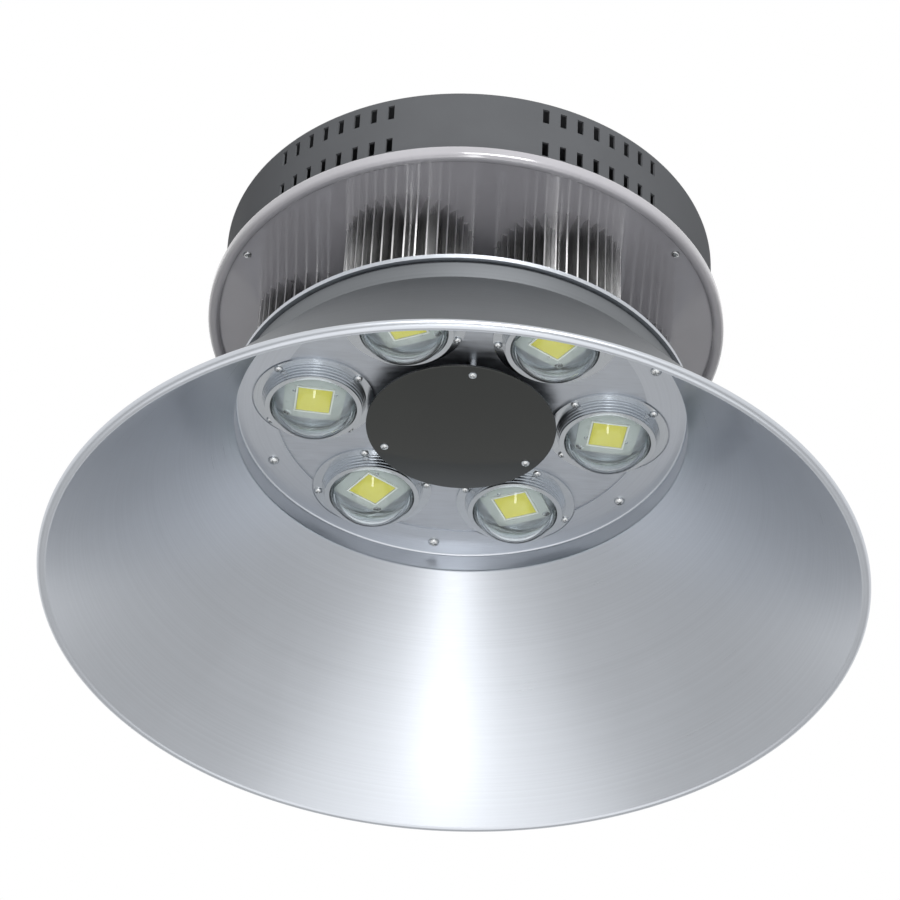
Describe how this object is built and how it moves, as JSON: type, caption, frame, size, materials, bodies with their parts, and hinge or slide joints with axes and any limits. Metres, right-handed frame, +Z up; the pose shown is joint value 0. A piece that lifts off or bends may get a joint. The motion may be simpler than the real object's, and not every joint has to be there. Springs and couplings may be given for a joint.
{
  "type": "high bay light",
  "caption": "High bay light: spun aluminium reflector, plate of COB lamps under domed lenses, radial-fin heatsinks and a vented round driver housing with a hanging eye.",
  "frame": {"origin": "middle of the reflector's mouth, at the lowest point of its rolled rim", "axes": "+Z up along the light's axis towards the hanging eye; +Y towards the cable gland; +X to the right of one who looks along +Y"},
  "size_m": [0.4999, 0.5, 0.3215],
  "materials": {
    "spun_aluminium": "satin, spun and anodised",
    "plate_aluminium": "satin sheet",
    "fin_aluminium": "extruded, bright edges",
    "turned_aluminium": "turned, bright",
    "grey_paint": "satin grey",
    "black_disc": "gloss black",
    "clear_glass": "clear, polished",
    "white_board": "white solder mask",
    "phosphor": "yellow phosphor gel",
    "zinc_steel": "zinc plated",
    "driver_case": "plain sheet",
    "black_nylon": "moulded",
    "cream_plastic": "moulded",
    "black_rubber": "matt"
  },
  "bodies": {
    "root": {"centre_disc": "black_disc", "cob_board_1": "white_board", "cob_board_2": "white_board", "cob_board_3": "white_board", "cob_board_4": "white_board", "cob_board_5": "white_board", "cob_board_6": "white_board", "cob_emitters": "phosphor", "cob_screws": "zinc_steel", "disc_screws": "zinc_steel", "disc_standoffs": "zinc_steel", "driver_1": "driver_case", "driver_2": "driver_case", "driver_3": "driver_case", "driver_housing": "grey_paint", "driver_screws": "zinc_steel", "eye_bolt": "zinc_steel", "eye_nut": "zinc_steel", "gland_body": "black_nylon", "gland_locknut": "black_nylon", "gland_nut": "black_nylon", "gland_seal": "black_rubber", "hanger_plate": "zinc_steel", "heatsink_1": "fin_aluminium", "heatsink_2": "fin_aluminium", "heatsink_3": "fin_aluminium", "heatsink_4": "fin_aluminium", "heatsink_5": "fin_aluminium", "heatsink_6": "fin_aluminium", "heatsink_screws": "zinc_steel", "housing_plate": "grey_paint", "housing_plate_screws": "zinc_steel", "housing_side_nuts": "zinc_steel", "housing_side_screws": "zinc_steel", "led_plate": "plate_aluminium", "lens_1": "clear_glass", "lens_2": "clear_glass", "lens_3": "clear_glass", "lens_4": "clear_glass", "lens_5": "clear_glass", "lens_6": "clear_glass", "lens_cup_1": "turned_aluminium", "lens_cup_2": "turned_aluminium", "lens_cup_3": "turned_aluminium", "lens_cup_4": "turned_aluminium", "lens_cup_5": "turned_aluminium", "lens_cup_6": "turned_aluminium", "lens_ring_1": "turned_aluminium", "lens_ring_2": "turned_aluminium", "lens_ring_3": "turned_aluminium", "lens_ring_4": "turned_aluminium", "lens_ring_5": "turned_aluminium", "lens_ring_6": "turned_aluminium", "lens_ring_screws": "zinc_steel", "reflector": "spun_aluminium", "reflector_screws": "zinc_steel", "terminal_block": "cream_plastic"}
  },
  "joints": []
}
